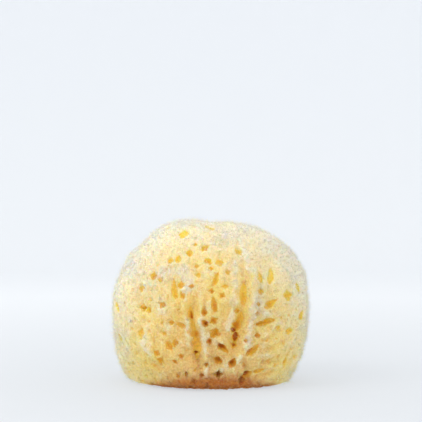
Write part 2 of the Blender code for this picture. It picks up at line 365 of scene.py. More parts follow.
def strewn_canals(taken):
    """Canals of the sides, back and crown, in random directions, clear of each other and of the front."""
    draw = np.random.default_rng(SEED)
    tried = unit(draw.normal(size=(STREWN_TRIES, 3)))
    turns = draw.uniform(-STREWN_TURN, STREWN_TURN, STREWN_TRIES)
    lengths = draw.uniform(*STREWN_LENGTH, STREWN_TRIES) * MM
    widths = draw.uniform(*STREWN_WIDTH, STREWN_TRIES) * MM
    for towards, turn, length, width in zip(tried, turns, lengths, widths):
        spot = (directions @ towards).argmax()
        place, facing = dome[spot], dome_facing[spot]
        near = np.linalg.norm(np.array(taken) - place, axis=-1).min() < STREWN_SPACING
        on_front = place[1] < FRONT_FROM and abs(place[0]) < FRONT_REACH and place[2] < FRONT_TOP
        if near or on_front or place[2] < STREWN_LOWEST:
            continue
        taken.append(place)
        along = along_growth(place, facing, turn)
        yield place, facing, along, length, width, CANAL_DEPTH_PER_WIDTH * width


def cut_face_canals():
    """Canals in the flat cut: on two rings by turns, each drawn out away from the middle."""
    down = np.array((0, 0, -1.0))
    depth = CANAL_DEPTH_PER_WIDTH * CUT_FACE_CANAL[1]
    for step in range(CUT_FACE_CANALS):
        angle = math.tau * step / CUT_FACE_CANALS
        outwards = np.array((math.cos(angle), math.sin(angle), 0))
        place = outwards * CUT_FACE_REACHES[step % len(CUT_FACE_REACHES)]
        yield place, down, outwards, *CUT_FACE_CANAL, depth


def small_pores(canals):
    """Pores at random skin points, clear of every canal and of each other, drawn out with the growth."""
    draw = np.random.default_rng(SEED + 1)
    spots = draw.integers(0, len(dome), PORE_TRIES)
    widths = draw.uniform(*PORE_WIDTH, PORE_TRIES) * MM
    far = ease(np.linalg.norm(dome[spots] - GROWTH_ROOT, axis=-1), FAR_FROM, FAR_TO)
    widths *= 1 - FAR_PORES_NARROWER * far
    lengths = widths * draw.uniform(*PORE_STRETCH, PORE_TRIES)
    turns = draw.uniform(-STREWN_TURN, STREWN_TURN, PORE_TRIES)
    places = [canal[0] for canal in canals]
    reaches = [canal[3] / 2 for canal in canals]
    for spot, length, width, turn in zip(spots, lengths, widths, turns):
        place, facing = dome[spot], dome_facing[spot]
        gap = np.linalg.norm(np.array(places) - place, axis=-1) - np.array(reaches) - length / 2
        if gap.min() < PORE_CLEARANCE:
            continue
        places.append(place)
        reaches.append(length / 2)
        along = along_growth(place, facing, turn)
        yield place, facing, along, length, width, PORE_DEPTH_PER_WIDTH * width


def sink_canals(points, canals):
    """The points drawn to each canal's wall, and how deep each is sunk. A canal is a drop: a line whose half
    width falls off as the root of 1 - NARROWING t^2, with t from -1 at its deep end, where it is wider, to 1.
    Its depth is FLOOR_MIDDLE - FLOOR_SLOPE t - FLOOR_ENDS t^2 of the full one. Distances are taken from its
    edge, less than 0 inside: those within WALL_FROM shrink to WALL_TO, and the rest make room. The floor is a
    bowl, the wall falls evenly, and the lip outside it by a smooth step."""
    points, sunk = points.copy(), np.zeros(len(points))
    ragged = sum(height * mottle(points / size, seed) for size, height, seed in RAGGED_EDGE)
    for place, facing, along, length, width, full_depth in canals:
        half_line = max(length - width * math.sqrt(1 - NARROWING), SHORTEST_LINE * width) / 2
        offset = points - place
        near = np.flatnonzero((offset**2).sum(-1) < (length / 2 + SKIN_STILL + SEARCH_MARGIN) ** 2)
        offset = offset[near]
        t = np.clip(offset @ along / half_line, -1, 1)
        aside = offset - (t * half_line)[:, None] * along
        aside -= (aside @ facing)[:, None] * facing
        reach = np.linalg.norm(aside, axis=-1) + NEVER_ZERO
        half_width = (width / 2 + OPENED_UP) * np.sqrt(1 - NARROWING * t**2) * (1 - ROOT_END_WIDER * t)
        beyond = reach - half_width + ragged[near] * np.minimum(half_width / RAGGED_WIDTH, 1)
        wall_in = np.minimum(WALL_FROM, WALL_MOST_FROM * half_width)
        wall_out = np.minimum(WALL_TO, WALL_MOST_TO * half_width)
        floor = (beyond + half_width) * (half_width - wall_out) / (half_width - wall_in) - half_width
        inner = np.where(beyond < -wall_in, floor, beyond * wall_out / wall_in)
        outer = np.interp(beyond, (0, WALL_FROM, SKIN_STILL), (0, WALL_TO, SKIN_STILL))
        drawn = np.where(beyond < 0, inner, outer) - beyond
        points[near] += aside * (drawn * (beyond < SKIN_STILL) / reach)[:, None]
        on_floor = np.clip((beyond + half_width) / (half_width - wall_in), 0, 1)
        on_wall = np.clip((beyond + wall_in) / (wall_in + WALL_FROM), 0, 1)
        sloping = FLOOR_MIDDLE - FLOOR_SLOPE * t - FLOOR_ENDS * t**2
        depth = full_depth * sloping * (1 - FLOOR_BOWL * on_floor**2) * (1 - on_wall)
        lip = LIP_DROP * min(width / LIP_WIDTH, 1) * (1 - ease(beyond, 0, LIP_REACH))
        sunk[near] = np.maximum(sunk[near], depth + lip)
    return points, sunk


canals = list(front_canals(FRONT_CANALS))
canals += strewn_canals([canal[0] for canal in canals])
canals += cut_face_canals()
canals += small_pores(canals)
gathered, sunk = sink_canals(dome, canals)

# The skin's relief. Furrows fan out from the growth root between soft mounds, and the fibre ends in
# small knobs, the conules, a couple of millimetres apart, with a fine grain on all. The relief is calm on the
# cut, in canals and far from the root. Furrows come and go by patches, and are fewer where the folds are.
FURROWS_PER_TURN = 8.5
FURROW_TURNOVER, FURROW_WANDER, FURROW_WANDER_SIZE = 14 * MM, 2.5, 22 * MM
FURROW_SLIT = 0.22
SECOND_FAN_SHIFT = 7.3
FURROW_DEPTH, FRONT_FURROW_SHARE = 1.3 * MM, 0.25
FURROW_PATCH, FAINTEST_FURROW, FAINT_FROM, FAINT_TO = 11 * MM, 0.4, -0.4, 0.3
FRONT_SEEN_FROM, FRONT_SEEN_TO = 0.35, 0.75
MOUNDS = ((10 * MM, 1.1 * MM, 7), (4.2 * MM, 0.50 * MM, 8), (2.1 * MM, 0.27 * MM, 10))
CONULE_SPACING, CONULE_HEIGHT, CONULE_REACH, CONULE_MEAN = 2.5 * MM, 0.50 * MM, 0.8, 0.4
GRAIN_SIZE, GRAIN_HEIGHT = 1.1 * MM, 0.26 * MM
CUT_FACE_RELIEF, CUT_FROM, CUT_TO = 0.25, 0.75, 0.97
CANAL_RELIEF, CANAL_FROM, CANAL_TO = 0.3, 0.7 * MM, 2.5 * MM
OUTER_RELIEF, ROOT_RELIEF = 0.26, 1.3
FOLD_WANDER, FOLD_WANDER_SIZE, FOLD_SOFTNESS = 1.3, 3.5 * MM, 0.85

# Ridges and furrows of the front: points (x, z) that they pass, how wide and how high, in mm
FRONT_FOLDS = (
    (((-12, 53), (-11, 42), (-9.5, 32), (-8, 22), (-7, 13)), 2.6, -2.4),
    (((-16, 60), (-15, 48), (-14.5, 38), (-13, 27)), 2.2, 1.2),
    (((-4.5, 62), (-6, 50), (-5.5, 38), (-4, 26), (-3, 12)), 2.0, 1.3),
    (((-21, 66), (-22, 58), (-18, 52), (-19, 44)), 2.4, -1.5),
    (((-15, 74), (-15.5, 67), (-12, 62)), 4.0, 1.8),
    (((20.5, 68), (19.5, 58), (17.5, 44), (14.5, 32), (13, 24)), 3.0, -2.4),
    (((14, 76), (14.5, 64), (12.5, 50), (10, 38)), 2.4, 1.5),
    (((25, 72), (25.5, 58), (24, 44), (20, 30), (17, 20)), 2.6, 1.5),
    (((15.5, 88), (17.5, 80)), 1.2, -1.2),
    (((18.5, 86), (21, 77), (23, 70)), 1.6, 1.0),
    (((18, 24), (19.5, 15), (22.5, 6)), 1.5, -1.6),
    (((-44, 36), (-46.5, 28), (-43, 21), (-38, 16), (-31, 14)), 2.6, -2.2),
    (((-32, 45), (-39, 35), (-40.5, 27), (-36, 21)), 3.0, 1.1),
    (((-26, 38), (-30, 29), (-29, 22)), 2.8, 1.0),
    (((37, 75), (39.5, 66), (37, 58)), 4.0, -1.6),
    (((45, 66), (46.5, 56), (44, 48)), 3.4, -1.5),
    (((31, 74), (31.5, 62), (30, 50)), 2.6, 1.2),
    (((27, 8), (34, 10), (43, 12), (50, 18)), 1.4, -1.4),
    (((31, 17), (40, 16), (47, 22), (54, 28)), 1.3, -1.5),
    (((30, 21), (38, 22), (47, 28), (54, 35)), 2.0, 1.0),
    (((34, 25), (43, 28), (54, 33)), 1.3, -1.3),
    (((30, 30), (38, 33), (50, 37), (57, 40)), 1.4, -1.4),
    (((30, 46), (40, 46), (50, 44)), 2.0, 1.0),
    (((0, 97), (-1.5, 92), (-6, 88)), 1.4, -1.0),
    (((-30, 84), (-36, 74)), 1.3, 1.0),
    (((-27, 84), (-33, 73), (-35, 66)), 2.0, -1.0),
    (((-8, 84), (-3, 80), (6, 79), (11, 76)), 3.0, -1.2),
    (((2, 72), (4, 64), (3.5, 56), (1, 47)), 2.4, -1.4),
    (((-27, 81), (-18, 76), (-9, 74)), 4.0, -1.3),
    (((-46, 56), (-40, 49), (-33, 44)), 4.0, -1.2),
    (((34, 51), (42, 46), (52, 44)), 3.5, -1.1),
)


def furrows(places):
    """1 in a furrow and 0 on the ridges: slits where noise over the rays from the growth root crosses zero.
    Two such noises take turns with the distance from the root, so that the slits end and begin again."""
    away = places - GROWTH_ROOT
    rays = unit(away) * FURROWS_PER_TURN
    turn = np.linalg.norm(away, axis=-1) / FURROW_TURNOVER
    turn += FURROW_WANDER * mottle(places / FURROW_WANDER_SIZE, seed=3)
    fan = np.cos(turn) * mottle(rays, seed=1) + np.sin(turn) * mottle(rays + SECOND_FAN_SHIFT, seed=2)
    return 1 - ease(np.abs(fan), 0, FURROW_SLIT)


def front_folds(points, rows):
    """Height of the front's ridges and furrows: a bell of the distance, seen from the front and shaken by
    noise, to each one's line of points."""
    height = np.zeros(len(points))
    front = np.flatnonzero((dome_facing[:, 1] < 0) & (points[:, 1] < 0))
    shaken = [mottle(points[front] / FOLD_WANDER_SIZE, seed) for seed in (51, 52)]
    seen = points[front][:, (0, 2)] / MM + FOLD_WANDER * np.stack(shaken, axis=-1)
    for line, width, rise in rows:
        nearest = np.full(len(front), np.inf)
        for start, end in zip(np.array(line[:-1]), np.array(line[1:])):
            way = end - start
            share = np.clip((seen - start) @ way / (way**2).sum(), 0, 1)
            nearest = np.minimum(nearest, np.linalg.norm(seen - start - share[:, None] * way, axis=-1))
        height[front] += rise * np.exp(-((nearest / width) ** 2))
    return FOLD_SOFTNESS * height * MM


def knobs(places, seed):
    """1 on the middle of a knob, falling evenly to 0: one knob in each cell, at a random place in it."""
    low = np.floor(places).astype(np.int64)
    nearest = np.full(len(places), np.inf)
    for step in itertools.product((-1, 0, 1), repeat=3):
        cell = low + step
        middle = cell + np.stack([lattice(cell, seed + axis) for axis in range(3)], axis=-1)
        nearest = np.minimum(nearest, ((places - middle) ** 2).sum(-1))
    return np.clip(1 - np.sqrt(nearest) / CONULE_REACH, 0, 1)


# How near the growth root a place is, where sideways distance counts for more than height
SIDEWAYS_COUNTS, ROOT_FROM, ROOT_TO = (1.3, 1.0, 0.85), 12 * MM, 105 * MM
root_distance = np.linalg.norm((gathered - GROWTH_ROOT) * SIDEWAYS_COUNTS, axis=-1)
rooted = 1 - ease(root_distance, ROOT_FROM, ROOT_TO)

conules = knobs(gathered / CONULE_SPACING, seed=31)
clear = ease(mottle(gathered / FURROW_PATCH, seed=5), FAINT_FROM, FAINT_TO)
slits = furrows(gathered) * (FAINTEST_FURROW + (1 - FAINTEST_FURROW) * clear)
slits *= 1 - (1 - FRONT_FURROW_SHARE) * ease(-dome_facing[:, 1], FRONT_SEEN_FROM, FRONT_SEEN_TO)
folds = sum(height * mottle(gathered / size, seed) for size, height, seed in MOUNDS)
folds += front_folds(gathered, FRONT_FOLDS) - FURROW_DEPTH * slits
relief = folds + CONULE_HEIGHT * (conules - CONULE_MEAN)
relief += GRAIN_HEIGHT * mottle(gathered / GRAIN_SIZE, seed=9)
on_cut = ease(-dome_facing[:, 2], CUT_FROM, CUT_TO)
inside = ease(sunk, CANAL_FROM, CANAL_TO)
relief *= (1 - on_cut * (1 - CUT_FACE_RELIEF)) * (1 - inside * (1 - CANAL_RELIEF))
relief *= OUTER_RELIEF + (ROOT_RELIEF - OUTER_RELIEF) * rooted
skin = gathered + dome_facing * (relief - sunk)[:, None]
skin[:, 2] = np.maximum(skin[:, 2], 0)
skin_facing = facing_of(skin, squares)

# What else the colours follow: how deep a place lies, how far it stands up, and how near the cut's edge it
# is, where a brown band, partly stain and partly painted shade where the sponge meets the floor, rises
# higher the nearer the growth root is
HOLLOW_FROM, HOLLOW_TO = 0.3 * MM, 6.0 * MM
MEAN_RAISED, FOLDS_RAISE, CONULES_RAISE = 0.5, 2.4 * MM, 0.25
STAIN_SHADE_WHOLE, STAIN_SHADE_LOWEST, STAIN_SHADE_RISE, STAIN_SHADE_GATHERS = 5 * MM, 5 * MM, 8 * MM, 3
hollow = ease(sunk, HOLLOW_FROM, HOLLOW_TO)
raised = MEAN_RAISED + folds / FOLDS_RAISE + CONULES_RAISE * (conules - CONULE_MEAN)
raised = np.clip(raised, 0, 1)
stain_shade_share = rooted**STAIN_SHADE_GATHERS
cut_edge = 1 - ease(skin[:, 2], STAIN_SHADE_WHOLE * stain_shade_share, STAIN_SHADE_LOWEST + STAIN_SHADE_RISE * stain_shade_share)

# Spongin, the horny fibre. Bleached fibre is cream and the mass below is straw yellow. Ridges are paler by
# painted highlight and tips partly so, and low places and gaps darker by painted shade. The hollows, lit
# through the fibre, are maize and gold, then amber, and near the root rust. Near the cut the fibre is brown,
# partly stain and partly painted shade where it meets the floor.
PALE_TIP = (1.0, 0.98, 0.90, 1)
CREAM = (0.97, 0.895, 0.77, 1)
STRAW = (0.96, 0.745, 0.36, 1)
HONEY = (0.93, 0.69, 0.20, 1)
MAIZE = (0.95, 0.75, 0.14, 1)
GOLD = (0.92, 0.54, 0.08, 1)
TAN = (0.88, 0.575, 0.22, 1)
AMBER = (0.92, 0.50, 0.025, 1)
RUST = (0.66, 0.17, 0.01, 1)
ROOT_BROWN = (0.55, 0.19, 0.04, 1)
CUT_LINE_BROWN_SHADE = (0.30, 0.08, 0.015, 1)
# SHADED: painted shade for the gaps between granules
SHADED = (0.58, 0.33, 0.09, 1)

# Grains of colour per metre, and between which values each mark of the mesh takes its colour in. A band is
# (value for none, value for all).
PATCHES, SPECKS, GRANULES = 90, 700, 850
SPECK_BAND, SPECK_SHARE = (0.42, 0.66), 0.3
BLEACH_SHARPNESS = 3.0
LOWEST, ROOT_TANS, PATCH_TANS = 1.15, 0.28, 0.6
# GAP_LOW_SHADE and GAP_SHADES: painted shade in the gaps between granules
GAP_BAND, GAP_LOW_SHADE, GAP_SHADES = (0.35, 0.85), 0.15, 0.38
TIP_LIFTS = 0.15
HONEY_BAND = (0, 0.5)
AMBER_BAND = (0.25, 0.75)
RUST_ROOT_BAND, RUST_DEPTH_BAND = (0.3, 0.7), (0.5, 0.8)
CREST_BAND, CREST_SHARE = (0.62, 0.95), 0.45
WALL_COLOURED = 12.0
STAIN_SHADE_ROOT_BAND = (0.48, 0.92)
CUT_LINE_BAND, CUT_LINE_ROOT_BAND = (3.6 * MM, 1.6 * MM), (0.50, 0.70)
PALE_BLEACHED, PALE_EVERYWHERE, PALE_RAISED_BAND = 0.5, 0.15, (-0.3, 0.5)
GRAIN_LIFT = 0.3


def add_node(tree, kind, inputs, **settings):
    """A node with these settings, each input given a value or joined to another node's output."""
    made = tree.nodes.new(kind)
    for name, value in settings.items():
        setattr(made, name, value)
    for name, value in inputs.items():
        if isinstance(value, bpy.types.NodeSocket):
            tree.links.new(value, made.inputs[name])
        else:
            made.inputs[name].default_value = value
    return made


def mixed(tree, share, first, second):
    """Two colours blended by a share."""
    made = add_node(tree, "ShaderNodeMix", {0: share, 6: first, 7: second}, data_type="RGBA")
    return made.outputs[2]


def sum_of(tree, operation, first, second):
    """Two numbers reckoned together, kept between 0 and 1."""
    made = add_node(tree, "ShaderNodeMath", {0: first, 1: second}, operation=operation, use_clamp=True)
    return made.outputs[0]


def stretched(tree, value, low, high):
    """A number stretched so that low becomes 0 and high becomes 1."""
    made = add_node(tree, "ShaderNodeMapRange", {0: value, 1: low, 2: high, 3: 0.0, 4: 1.0})
    return made.outputs[0]


def make_spongin_group():
    """Colour and small relief of the fibre from how deep, raised, near the root and near the cut it is, and
    its tips. Lowness is (LOWEST - raised) x (root + ROOT_TANS) x (patches + PATCH_TANS), more in the gaps
    between granules and less at the tips, and tans the cream and straw: a tan near the root and in patches,
    and painted shade in low places and in the gaps."""
    group = bpy.data.node_groups.new("spongin_fibre", "ShaderNodeTree")
    for name in ("Hollow", "Raised", "Rooted", "Cut_edge", "Tip"):
        group.interface.new_socket(name, in_out="INPUT", socket_type="NodeSocketFloat")
    group.interface.new_socket("Place", in_out="INPUT", socket_type="NodeSocketVector")
    group.interface.new_socket("Colour", in_out="OUTPUT", socket_type="NodeSocketColor")
    group.interface.new_socket("Grain", in_out="OUTPUT", socket_type="NodeSocketFloat")
    given = group.nodes.new("NodeGroupInput").outputs
    given_out = group.nodes.new("NodeGroupOutput").inputs
    place, hollow, raised, rooted = (given[name] for name in ("Place", "Hollow", "Raised", "Rooted"))

    def times(first, second):
        return sum_of(group, "MULTIPLY", first, second)

    def plus(first, second):
        return sum_of(group, "ADD", first, second)

    def less(first, second):
        return sum_of(group, "SUBTRACT", first, second)

    patches = add_node(group, "ShaderNodeTexNoise", {"Vector": place, "Scale": PATCHES, "Detail": 3})
    specks = add_node(group, "ShaderNodeTexNoise", {"Vector": place, "Scale": SPECKS, "Detail": 3})
    granules = add_node(group, "ShaderNodeTexVoronoi", {"Vector": place, "Scale": GRANULES}, feature="F1")
    gaps = stretched(group, granules.outputs["Distance"], *GAP_BAND)
    speckle = stretched(group, specks.outputs["Fac"], *SPECK_BAND)
    bleached = less(1.0, rooted)

    fresh = mixed(group, sum_of(group, "POWER", bleached, BLEACH_SHARPNESS), STRAW, CREAM)
    flecked = mixed(group, times(speckle, SPECK_SHARE), fresh, CREAM)
    # Lowness: painted shade that tans low places and the gaps between granules, with a tan near the root and
    # in patches
    lowness = times(less(LOWEST, raised), plus(rooted, ROOT_TANS))
    lowness = times(lowness, plus(patches.outputs["Fac"], PATCH_TANS))
    lowness = less(plus(lowness, times(gaps, GAP_LOW_SHADE)), times(given["Tip"], TIP_LIFTS))
    tanned_with_painted_light = mixed(group, lowness, flecked, mixed(group, stretched(group, bleached, *HONEY_BAND), TAN, HONEY))
    # Painted highlight: raised ridges turn cream
    crest_highlight = times(stretched(group, raised, *CREST_BAND), CREST_SHARE)
    tanned_with_painted_light = mixed(group, crest_highlight, tanned_with_painted_light, CREAM)

    shallow = mixed(group, bleached, GOLD, MAIZE)
    depths = mixed(group, stretched(group, hollow, *AMBER_BAND), shallow, AMBER)
    rusty = times(stretched(group, rooted, *RUST_ROOT_BAND), stretched(group, hollow, *RUST_DEPTH_BAND))
    depths = mixed(group, rusty, depths, RUST)
    body = mixed(group, times(hollow, WALL_COLOURED), tanned_with_painted_light, depths)

    # Stain and painted shade at the base: brown near the cut, most near the root, and a darker line along the
    # bottom edge where the sponge meets the floor
    stain_shade = times(given["Cut_edge"], stretched(group, rooted, *STAIN_SHADE_ROOT_BAND))
    based = mixed(group, stain_shade, body, ROOT_BROWN)
    height = add_node(group, "ShaderNodeSeparateXYZ", {0: place}).outputs["Z"]
    lined = stretched(group, height, *CUT_LINE_BAND)
    lined = times(lined, stretched(group, rooted, *CUT_LINE_ROOT_BAND))
    based = mixed(group, lined, based, CUT_LINE_BROWN_SHADE)
    # Painted shade: near the root the gaps between granules darken to a warm brown
    based = mixed(group, times(gaps, times(rooted, GAP_SHADES)), based, SHADED)
    # Tips paler: partly bleached fibre ends, partly painted highlight where they stand up and catch the light
    pale = times(given["Tip"], plus(times(bleached, PALE_BLEACHED), PALE_EVERYWHERE))
    pale = times(pale, stretched(group, raised, *PALE_RAISED_BAND))
    group.links.new(mixed(group, pale, based, PALE_TIP), given_out["Colour"])
    group.links.new(less(plus(specks.outputs["Fac"], GRAIN_LIFT), gaps), given_out["Grain"])
    return group


SPONGIN = make_spongin_group()


# Dry fibre: nearly no shine, light that goes in comes out redder, and down that catches a warm sheen
FIBRE_ROUGHNESS, FIBRE_SHINE = 0.9, 0.1
REACH_BY_COLOUR = (1.0, 0.62, 0.28)
DOWN_ROUGHNESS, DOWN_TINT = 0.5, (1.0, 0.95, 0.82, 1)
BUMP_STRENGTH = 0.8


def spongin_material(name, light_reach, down, bump_height):
    """Matt fibre that light enters to light_reach, with sheen by its share of down and with the colours that
    the mesh's marks give."""
    material = bpy.data.materials.new(name)
    material.use_nodes = True
    tree = material.node_tree
    shader = tree.nodes["Principled BSDF"]
    marks = {
        mark: add_node(tree, "ShaderNodeAttribute", {}, attribute_name=mark.lower()).outputs["Fac"]
        for mark in ("Hollow", "Raised", "Rooted", "Cut_edge", "Tip")
    }
    place = add_node(tree, "ShaderNodeTexCoord", {}).outputs["Object"]
    fibre = add_node(tree, "ShaderNodeGroup", {}, node_tree=SPONGIN)
    for mark, value in marks.items():
        tree.links.new(value, fibre.inputs[mark])
    tree.links.new(place, fibre.inputs["Place"])
    tree.links.new(fibre.outputs["Colour"], shader.inputs["Base Color"])
    if bump_height:
        bump = add_node(tree, "ShaderNodeBump", {"Height": fibre.outputs["Grain"], "Distance": bump_height})
        bump.inputs["Strength"].default_value = BUMP_STRENGTH
        tree.links.new(bump.outputs["Normal"], shader.inputs["Normal"])
    shader.inputs["Roughness"].default_value = FIBRE_ROUGHNESS
    shader.inputs["Specular IOR Level"].default_value = FIBRE_SHINE
    shader.inputs["Subsurface Weight"].default_value = 1.0
    shader.inputs["Subsurface Radius"].default_value = REACH_BY_COLOUR
    shader.inputs["Subsurface Scale"].default_value = light_reach
    shader.inputs["Sheen Weight"].default_value = down
    shader.inputs["Sheen Roughness"].default_value = DOWN_ROUGHNESS
    shader.inputs["Sheen Tint"].default_value = DOWN_TINT
    return material


def mesh_piece(name, points, faces, face_map, marks, material):
    """An object at the origin from whole arrays: points, faces of one kind, map corners and point marks."""
    mesh = bpy.data.meshes.new(name)
    mesh.vertices.add(len(points))
    mesh.vertices.foreach_set("co", points.astype(np.float32).ravel())
    mesh.loops.add(faces.size)
    mesh.loops.foreach_set("vertex_index", faces.astype(np.int32).ravel())
    mesh.polygons.add(len(faces))
    mesh.polygons.foreach_set("loop_start", np.arange(0, faces.size, faces.shape[1], dtype=np.int32))
    mesh.update(calc_edges=True)
    mesh.shade_smooth()
    layer = mesh.uv_layers.new(name="OFBake")
    layer.data.foreach_set("uv", face_map.astype(np.float32).ravel())
    for mark, values in marks.items():
        attribute = mesh.attributes.new(mark, "FLOAT", "POINT")
        attribute.data.foreach_set("value", values.astype(np.float32))
    mesh.materials.append(material)
    piece = bpy.data.objects.new(name, mesh)
    bpy.context.scene.collection.objects.link(piece)
    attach(piece, "root")
    return piece


skin_marks = {
    "hollow": hollow,
    "raised": raised,
    "rooted": rooted,
    "cut_edge": cut_edge,
    "tip": np.zeros(len(skin)),
}
skin_material = spongin_material("spongin_skin", light_reach=8 * MM, down=0.05, bump_height=0.5 * MM)
body = mesh_piece("sponge_skin", skin, squares, square_map, skin_marks, skin_material)
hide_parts("sponge")

# The tufts. The fibre ends stand off the skin in small brushes, thickest on the knobs and ridges, and
# give the sponge its downy outline. Each is a closed, bent needle, rooted just under the skin.
# For each kind: needles, needles in a tuft, spread of a tuft in mm, length in mm, width in mm, liking for
# high places, how far the tips draw together, and where between root and tip it bends
TUFT_KINDS = {
    "down_fine": (49000, 5, 0.8, (0.5, 1.1), 0.17, 0.8, 0.1, ()),
    "down_long": (49000, 4, 0.9, (1.3, 2.6), 0.11, 1.5, 0.2, ()),
    "down_haze": (49000, 2, 0.9, (2.0, 4.0), 0.085, 1.0, 0.2, ()),
    "tufts_short": (19900, 6, 0.8, (0.9, 1.6), 0.20, 1.0, 0.6, (0.5,)),
    "tufts_tall": (19900, 8, 1.0, (1.2, 2.2), 0.20, 1.6, 0.7, (0.5,)),
}
ROOTED_BELOW, LOWEST_FIBRE = 0.25 * MM, 0.05 * MM
CLEAR_OF_CANALS, FEWER_AT_ROOT, CLEAR_OF_CUT = 14, 0.5, (0.5 * MM, 2.5 * MM)
DOME_STEADIES = 0.8
COMBED, UNRULY, SCATTERED = 0.35, 0.38, 0.16
UNEVEN_LENGTH, UNEVEN_GATHER, UNEVEN_BLEACH = (0.7, 1.15), (-0.6, 1.4), 0.15
BEND, BENT_SHARE, TAPER, ASIDE_SHIFT = 0.35, 0.6, 0.7, 0.3
TIP_PALENESS = (0.4, 0.7)
MAP_STEP = 2.5 / 1024


def needle_faces(rings):
    """Faces of one three-sided needle: its foot, two triangles a side between rings, and its point."""
    faces = [(0, 2, 1)]
    for ring in range(rings - 1):
        for side in range(3):
            low, next_low = 3 * ring + side, 3 * ring + (side + 1) % 3
            faces += [(low, next_low, next_low + 3), (low, next_low + 3, low + 3)]
    last = 3 * (rings - 1)
    faces += [(last + side, last + (side + 1) % 3, last + 3) for side in range(3)]
    return np.array(faces)


def needle_points(roots, leaning, lengths, width, bends, joints):
    """Rings of three corners and a point along root + t * length * (leaning + t * bend), t from 0 to 1.
    A ring is an even triangle across the needle, and its radius falls off evenly by TAPER. Its first corner
    lies sideways of the needle and of its bend's direction shifted by ASIDE_SHIFT."""
    aside = unit(np.cross(leaning, unit(bends) + ASIDE_SHIFT))
    beside = np.cross(leaning, aside)
    rows = []
    for t in (0.0, *joints):
        middle = roots + t * lengths[:, None] * (leaning + t * bends)
        radius = width / 2 * (1 - TAPER * t)
        for corner in range(3):
            angle = math.tau * corner / 3
            rows.append(middle + radius * (math.cos(angle) * aside + math.sin(angle) * beside))
    rows.append(roots + lengths[:, None] * (leaning + bends))
    return np.stack(rows, axis=1)


def tuft_kind(name, needles, in_tuft, spread, length, width, liking, drawn_in, joints, seed):
    """One kind of tuft over the whole skin. A tuft stands on a random square, chosen by its area times how
    open it lies times e to the power of liking times height. Its needles are rooted round it, lean the way
    the skin faces and grows, and draw together at their tips."""
    draw = np.random.default_rng(seed)
    tufts = needles // in_tuft
    corners = skin[squares]
    area = np.linalg.norm(np.cross(corners[:, 2] - corners[:, 0], corners[:, 3] - corners[:, 1]), axis=-1)
    open_skin = (1 - hollow) ** CLEAR_OF_CANALS * (1 - on_cut) * (1 - FEWER_AT_ROOT * rooted)
    open_skin = open_skin * ease(skin[:, 2], *CLEAR_OF_CUT)
    wanted = area * (open_skin * np.exp(liking * raised))[squares].mean(-1)
    chosen = draw.choice(len(squares), tufts, p=wanted / wanted.sum())
    first, second = draw.random((2, tufts, 1))
    weights = np.stack(
        ((1 - first) * (1 - second), first * (1 - second), first * second, (1 - first) * second), axis=1
    )
    spots = squares[chosen]
    middle = (skin[spots] * weights).sum(1)
    facing = ((skin_facing[spots] + DOME_STEADIES * dome_facing[spots]) * weights).sum(1)
    facing = unit(facing)
    each = np.repeat(np.arange(tufts), in_tuft)
    count = len(each)
    along = along_growth(middle, facing, 0.0)
    across = np.cross(facing, along)
    angle, reach = draw.uniform(0, math.tau, count), spread * MM / 2 * np.sqrt(draw.random(count))
    rooting = (reach * np.cos(angle))[:, None] * along[each]
    rooting = rooting + (reach * np.sin(angle))[:, None] * across[each]
    tall = draw.uniform(*length, tufts)[each] * draw.uniform(*UNEVEN_LENGTH, count) * MM
    lean = COMBED * along + draw.normal(0, UNRULY, (tufts, 3))
    gather = drawn_in * draw.uniform(*UNEVEN_GATHER, tufts)[each, None]
    leaning = facing[each] + lean[each] + draw.normal(0, SCATTERED, (count, 3))
    leaning = unit(leaning - gather * rooting / tall[:, None])
    bends = draw.normal(0, BEND, (count, 3)) * BENT_SHARE
    roots = middle[each] + rooting - facing[each] * ROOTED_BELOW
    points = needle_points(roots, leaning, tall, width * MM, bends, joints)
    points[..., 2] = np.maximum(points[..., 2], LOWEST_FIBRE)
    corners_each = points.shape[1]
    faces = needle_faces(len(joints) + 1)
    all_faces = (faces[None] + (np.arange(count) * corners_each)[:, None, None]).reshape(-1, 3)
    up = np.append(np.repeat((0.0, *joints), 3), 1.0)
    root_map = (square_map[chosen] * weights).sum(1)[each]
    on_needle = np.stack((np.arange(corners_each) % 3 / 2, up), -1)
    face_map = (root_map[:, None] + on_needle * MAP_STEP)[:, faces].reshape(-1, 2)
    marks = {
        mark: np.repeat((values[spots] * weights[..., 0]).sum(1)[each], corners_each)
        for mark, values in skin_marks.items()
    }
    unevenly = draw.normal(0, UNEVEN_BLEACH, tufts)[each]
    paleness = draw.uniform(*TIP_PALENESS, tufts)[each]
    marks["raised"] = marks["raised"] + np.repeat(unevenly, corners_each)
    marks["tip"] = np.tile(up, count) * np.repeat(paleness, corners_each)
    return mesh_piece(name, points.reshape(-1, 3), all_faces, face_map, marks, TUFT_MATERIAL)


TUFT_MATERIAL = spongin_material("spongin_tufts", light_reach=0.2 * MM, down=0.15, bump_height=0)
for number, (name, kind) in enumerate(TUFT_KINDS.items()):
    tuft_kind(name, *kind, seed=SEED + 10 + number)

# The stage: a pale paper floor that curves up into a wall all round, so that no edge shows from any side.
# The floor glows most near the sponge, lighting it from below and thinning its shadow, and the wall glows
# faintly.
FLOOR_MIDDLE_HOLE, FLOOR_RING, FLOOR_FLAT, WALL_REACH, WALL_TOP = 0.001, 0.5, 1.5, 2.6, 1.7
STAGE_SIDES, CURVE_STEPS = 96, 24
NEAR_COLOUR = (0.22, 0.23, 0.245, 1)
FAR_COLOUR = (0.695, 0.72, 0.755, 1)
UPPER_COLOUR = (0.695, 0.72, 0.76, 1)
NEAR_BAND, UPPER_BAND = (0.8, 0.1), (0.2, 0.8)
NEAR_GLOW, FAR_GLOW, GLOW_COLOUR = 0.57, 0.13, (0.92, 0.96, 1.0, 1)
PAPER_ROUGHNESS, PAPER_SHINE = 0.9, 0.1


